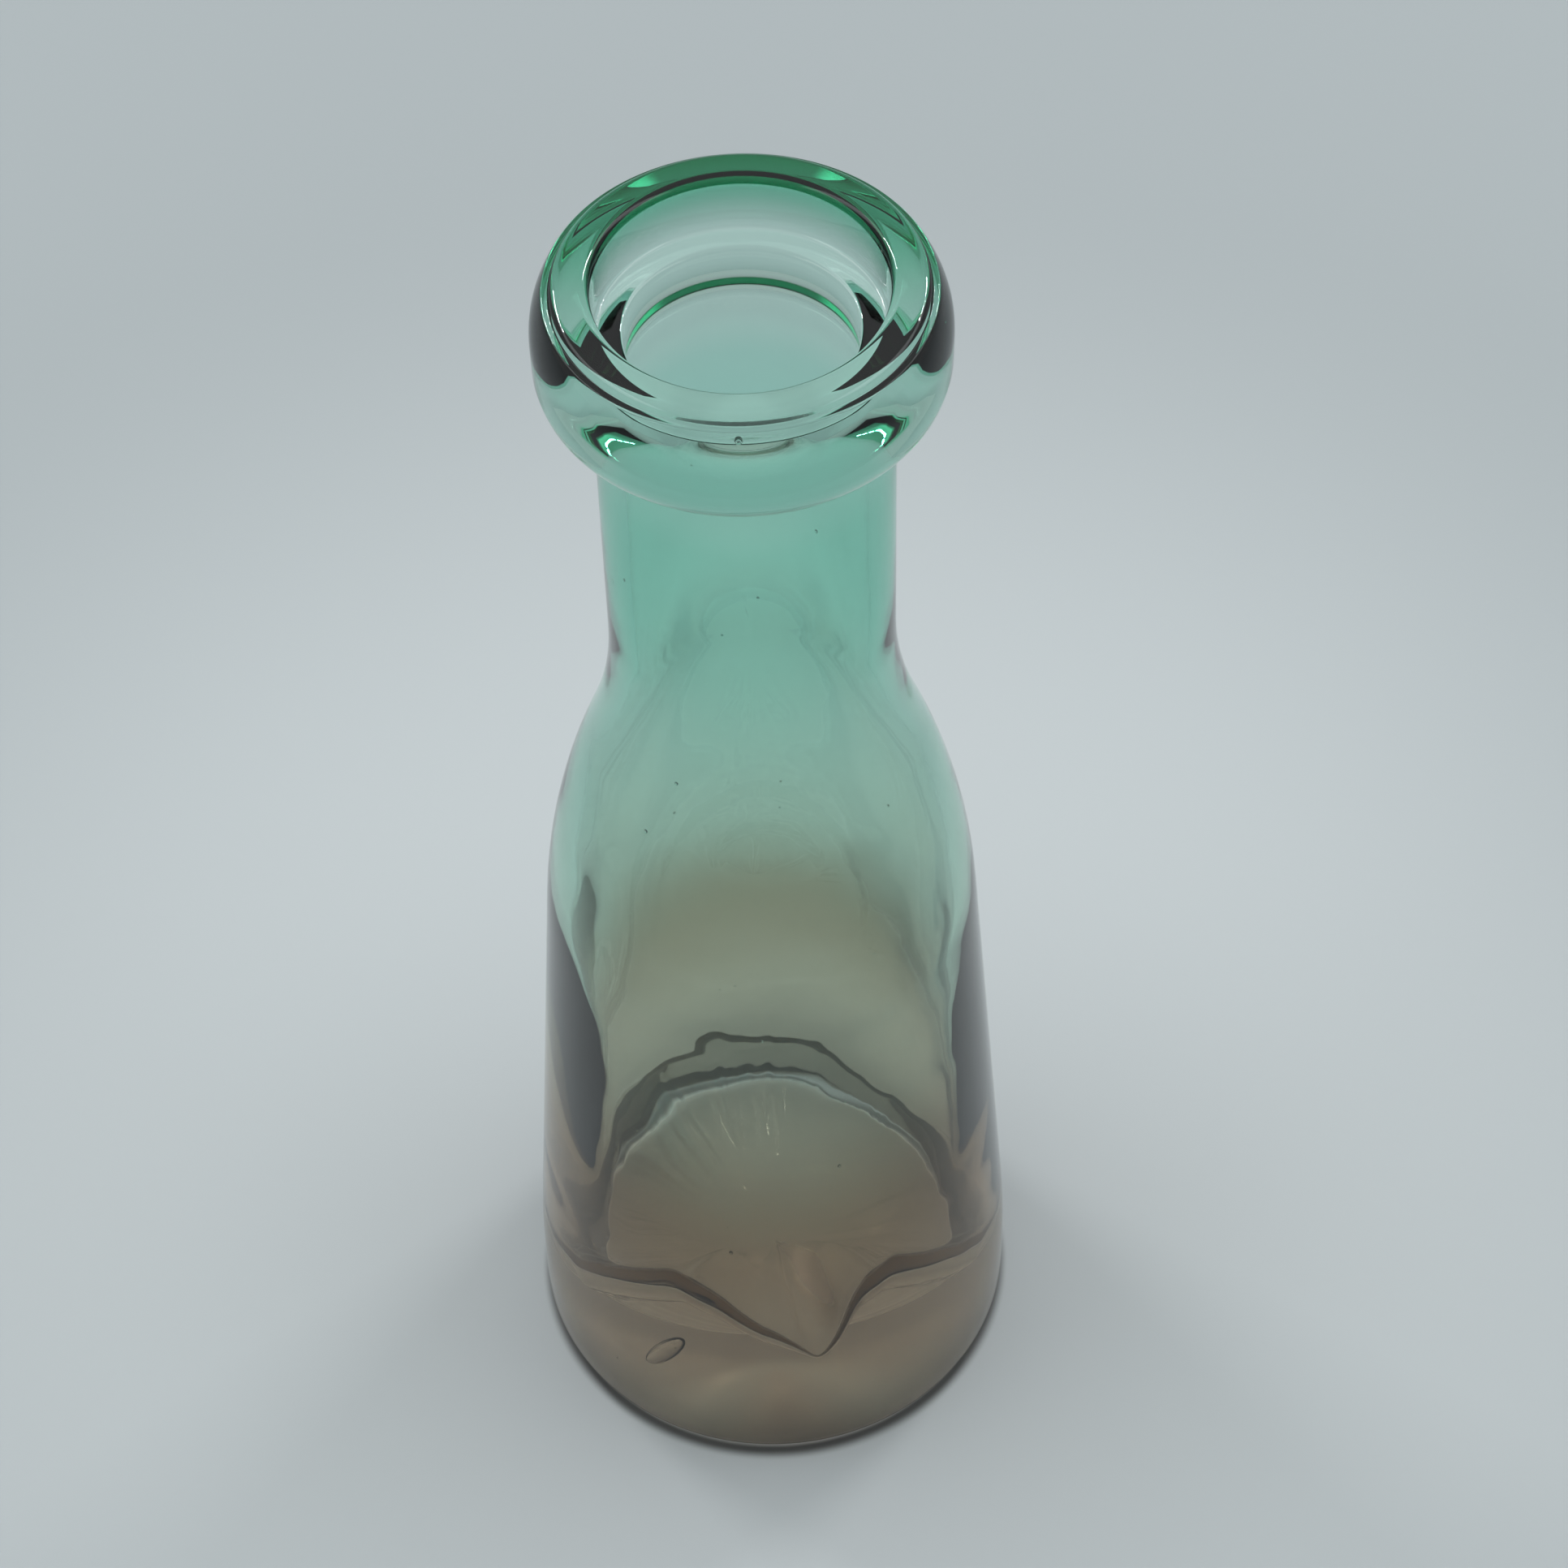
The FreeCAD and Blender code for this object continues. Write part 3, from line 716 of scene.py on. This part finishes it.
def build_surroundings():
    world = bpy.data.worlds.new("studio")
    bpy.context.scene.world = world
    world.use_nodes = True
    tree = world.node_tree
    place = tree.nodes.new("ShaderNodeTexCoord")
    split = tree.nodes.new("ShaderNodeSeparateXYZ")
    tree.links.new(place.outputs["Generated"], split.inputs[0])

    def step(value, limits, low=0, high=1):
        node = tree.nodes.new("ShaderNodeMapRange")
        node.interpolation_type = "SMOOTHSTEP"
        node.inputs["From Min"].default_value = limits[0]
        node.inputs["From Max"].default_value = limits[1]
        node.inputs["To Min"].default_value = low
        node.inputs["To Max"].default_value = high
        tree.links.new(value, node.inputs["Value"])
        return node.outputs["Result"]

    def maths(operation, first, second=None):
        node = tree.nodes.new("ShaderNodeMath")
        node.operation = operation
        tree.links.new(first, node.inputs[0])
        if second is not None:
            tree.links.new(second, node.inputs[1])
        return node.outputs[0]

    mix = tree.nodes.new("ShaderNodeMix")
    mix.data_type = "RGBA"
    mix.inputs[6].default_value = WALL_LIGHT
    mix.inputs[7].default_value = CEILING_LIGHT
    tree.links.new(step(split.outputs["Z"], CEILING_RISE), mix.inputs["Factor"])
    front = step(split.outputs["Y"], FRONT_REACH, FRONT_SHARE, 1)
    beside = step(maths("ABSOLUTE", split.outputs["X"]), PANEL_SIDE)
    above = step(split.outputs["Z"], PANEL_RISE, 0, PANEL_LIGHT / CEILING_LIGHT[1])
    strength = maths("ADD", front, maths("MULTIPLY", beside, above))
    tree.links.new(mix.outputs[2], tree.nodes["Background"].inputs["Color"])
    tree.links.new(strength, tree.nodes["Background"].inputs["Strength"])


build_surroundings()

# A strip of small lamps on each side
LAMP_POWER = 0.6
LAMP_RADIUS = 0.010
LAMPS_IN_STRIP = 8
LAMP_PITCH = 0.03
STRIP_PLACE = (0.40, 0.40, 0.60)
for side in (-1, 1):
    for k in range(LAMPS_IN_STRIP):
        data = bpy.data.lights.new(f"lamp_{side}_{k}", "POINT")
        data.energy = LAMP_POWER
        data.shadow_soft_size = LAMP_RADIUS
        lamp = bpy.data.objects.new(data.name, data)
        along = (k - (LAMPS_IN_STRIP - 1) / 2) * LAMP_PITCH
        lamp.location = (side * STRIP_PLACE[0], STRIP_PLACE[1] + along, STRIP_PLACE[2])
        bpy.context.scene.collection.objects.link(lamp)

# Camera, fitted to the bottle's rim, throat and foot in the photograph
CAMERA_PLACE = Vector((0, -405.230, 636.234))
CAMERA_RIGHT = Vector((0.9993427, -0.0317320, -0.0175305))
CAMERA_UP = Vector((0.0356803, 0.7753596, 0.6305112))
IMAGE_SIZE = 1932
FOCAL_PIXELS = 5000
SENSOR_WIDTH = 36
NEAR_CLIP = 0.01
camera = bpy.data.objects.new("camera", bpy.data.cameras.new("camera"))
bpy.context.scene.collection.objects.link(camera)
camera.data.sensor_width = SENSOR_WIDTH
camera.data.lens = FOCAL_PIXELS / IMAGE_SIZE * SENSOR_WIDTH
camera.data.clip_start = NEAR_CLIP
axes = Matrix((CAMERA_RIGHT, CAMERA_UP, CAMERA_RIGHT.cross(CAMERA_UP))).transposed()
camera.matrix_world = Matrix.Translation(CAMERA_PLACE * MM) @ axes.to_4x4()
bpy.context.scene.camera = camera

bpy.context.scene.view_settings.view_transform = "Standard"
